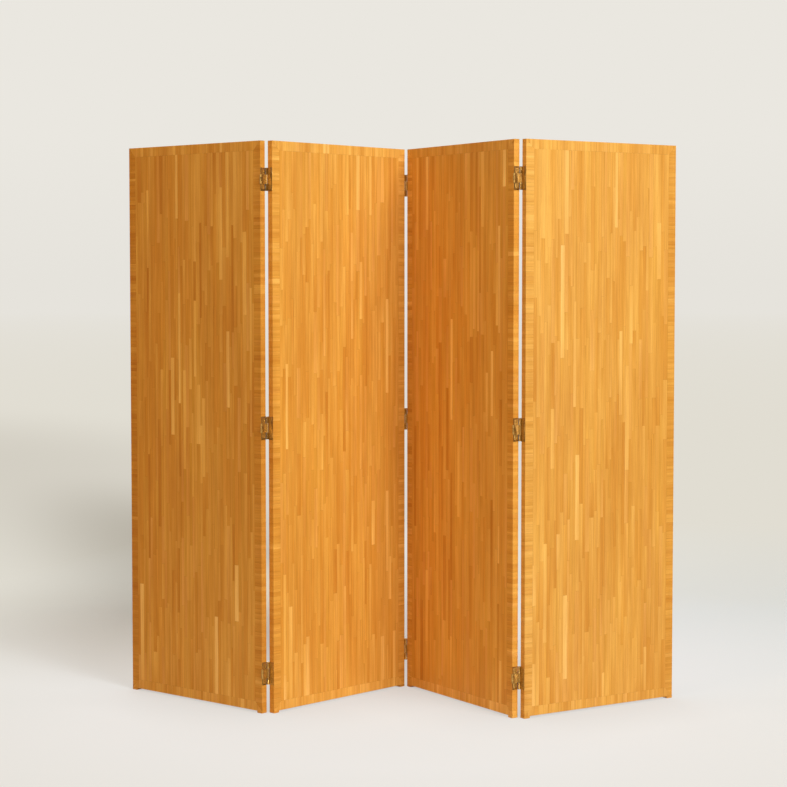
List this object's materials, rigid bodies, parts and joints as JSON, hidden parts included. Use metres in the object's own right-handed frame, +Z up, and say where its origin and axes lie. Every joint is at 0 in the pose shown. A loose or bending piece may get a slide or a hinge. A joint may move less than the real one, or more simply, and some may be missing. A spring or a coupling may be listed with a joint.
{
  "type": "folding room screen",
  "caption": "Folding zig-zag room screen of strip-laminated wooden boards with mitred cross-grain borders, low corner feet and double-action hinges that fold either way.",
  "frame": {"origin": "on the floor, under the middle of the standing screen's box", "axes": "+Z up, -Y towards the front, +X to the right when facing the front"},
  "size_m": [1.7854, 0.5328, 1.8],
  "materials": {
    "stave_wood": "satin lacquer over narrow upright staves of uneven tone",
    "band_wood": "satin lacquer over short cross-grain pieces",
    "foot_wood": "satin lacquer",
    "hinge_brass": "aged, semi-bright"
  },
  "bodies": {
    "panel_1": {"panel_1_stave_board": "stave_wood", "panel_1_band_bottom": "band_wood", "panel_1_band_right": "band_wood", "panel_1_band_top": "band_wood", "panel_1_band_left": "band_wood", "panel_1_foot_left": "foot_wood", "panel_1_foot_right": "foot_wood", "hinge_12_top_carrier_leaf": "hinge_brass", "hinge_12_middle_carrier_leaf": "hinge_brass", "hinge_12_bottom_carrier_leaf": "hinge_brass"},
    "panel_2": {"panel_2_stave_board": "stave_wood", "panel_2_band_bottom": "band_wood", "panel_2_band_right": "band_wood", "panel_2_band_top": "band_wood", "panel_2_band_left": "band_wood", "panel_2_foot_left": "foot_wood", "panel_2_foot_right": "foot_wood", "hinge_12_top_swing_leaf": "hinge_brass", "hinge_12_middle_swing_leaf": "hinge_brass", "hinge_12_bottom_swing_leaf": "hinge_brass", "hinge_23_top_swing_leaf": "hinge_brass", "hinge_23_middle_swing_leaf": "hinge_brass", "hinge_23_bottom_swing_leaf": "hinge_brass"},
    "panel_3": {"panel_3_stave_board": "stave_wood", "panel_3_band_bottom": "band_wood", "panel_3_band_right": "band_wood", "panel_3_band_top": "band_wood", "panel_3_band_left": "band_wood", "panel_3_foot_left": "foot_wood", "panel_3_foot_right": "foot_wood", "hinge_23_top_carrier_leaf": "hinge_brass", "hinge_23_middle_carrier_leaf": "hinge_brass", "hinge_23_bottom_carrier_leaf": "hinge_brass", "hinge_34_top_carrier_leaf": "hinge_brass", "hinge_34_middle_carrier_leaf": "hinge_brass", "hinge_34_bottom_carrier_leaf": "hinge_brass"},
    "panel_4": {"panel_4_stave_board": "stave_wood", "panel_4_band_bottom": "band_wood", "panel_4_band_right": "band_wood", "panel_4_band_top": "band_wood", "panel_4_band_left": "band_wood", "panel_4_foot_left": "foot_wood", "panel_4_foot_right": "foot_wood", "hinge_34_top_swing_leaf": "hinge_brass", "hinge_34_middle_swing_leaf": "hinge_brass", "hinge_34_bottom_swing_leaf": "hinge_brass"},
    "links_12": {"hinge_12_top_link": "hinge_brass", "hinge_12_middle_link": "hinge_brass", "hinge_12_bottom_link": "hinge_brass"},
    "links_23": {"hinge_23_top_link": "hinge_brass", "hinge_23_middle_link": "hinge_brass", "hinge_23_bottom_link": "hinge_brass"},
    "links_34": {"hinge_34_top_link": "hinge_brass", "hinge_34_middle_link": "hinge_brass", "hinge_34_bottom_link": "hinge_brass"}
  },
  "joints": [
    {"name": "front_pins_12", "type": "hinge", "parent": "links_12", "child": "panel_1", "pos_m": [-0.43295, -0.19202, 0.9], "axis": [0, 0, -1], "range_deg": [-180, 0]},
    {"name": "back_pins_12", "type": "hinge", "parent": "panel_2", "child": "links_12", "pos_m": [-0.41656, -0.17262, 0.9], "axis": [0, 0, -1], "range_deg": [-86.5, 93.5]},
    {"name": "front_pins_23", "type": "hinge", "parent": "links_23", "child": "panel_2", "pos_m": [0.02158, 0.24911, 0.9], "axis": [0, 0, 1], "range_deg": [-103.5, 76.5]},
    {"name": "back_pins_23", "type": "hinge", "parent": "panel_3", "child": "links_23", "pos_m": [0.04293, 0.26287, 0.9], "axis": [0, 0, 1], "range_deg": [-180, 0]},
    {"name": "front_pins_34", "type": "hinge", "parent": "panel_3", "child": "links_34", "pos_m": [0.35073, -0.26162, 0.9], "axis": [0, 0, 1], "range_deg": [-180, 0]},
    {"name": "back_pins_34", "type": "hinge", "parent": "links_34", "child": "panel_4", "pos_m": [0.37208, -0.24786, 0.9], "axis": [0, 0, 1], "range_deg": [-89.9, 90.1]}
  ]
}
